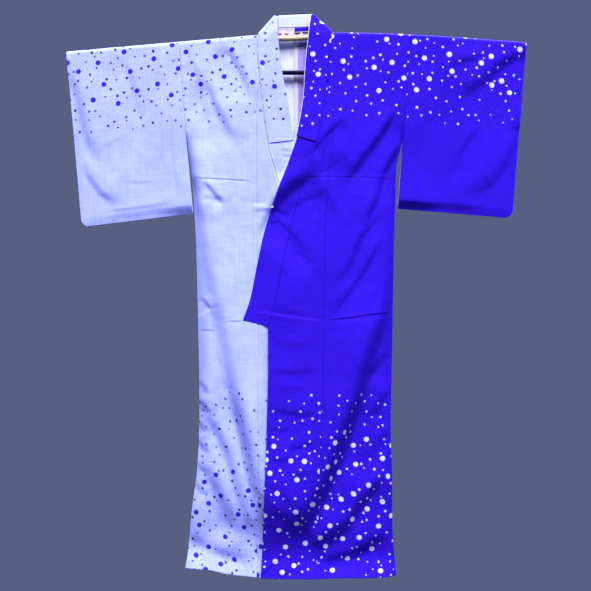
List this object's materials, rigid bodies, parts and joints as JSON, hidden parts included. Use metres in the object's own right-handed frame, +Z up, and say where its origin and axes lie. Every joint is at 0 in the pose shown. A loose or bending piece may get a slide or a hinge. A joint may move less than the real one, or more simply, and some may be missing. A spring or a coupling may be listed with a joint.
{
  "type": "kimono hung on a rod",
  "caption": "Women's unlined kimono in two colours, half pale and half blue with scattered dots, hung flat on a rod with its fronts crossed.",
  "frame": {"origin": "the rod's axis at its middle, below the nape of the collar", "axes": "+Z up, the front faces -Y, +X to the right of a viewer who faces the front"},
  "size_m": [1.2911, 0.082, 1.5788],
  "materials": {
    "pale_cloth": "matte woven cloth",
    "blue_cloth": "matte woven cloth",
    "white_cloth": "matte woven cloth",
    "rod_wood": "smooth, clear finish",
    "rail_paint": "gloss"
  },
  "bodies": {
    "root": {"front_pale": "pale_cloth", "front_blue": "blue_cloth", "back_pale": "pale_cloth", "back_blue": "blue_cloth", "okumi_pale": "pale_cloth", "okumi_blue": "blue_cloth", "sleeve_pale": "pale_cloth", "sleeve_blue": "blue_cloth", "collar_pale": "pale_cloth", "collar_blue": "blue_cloth", "over_collar_pale": "pale_cloth", "over_collar_blue": "blue_cloth", "collar_facing": "white_cloth", "hanging_rod": "rod_wood", "lower_rail": "rail_paint", "rail_link_left": "rail_paint", "rail_link_right": "rail_paint"}
  },
  "joints": []
}
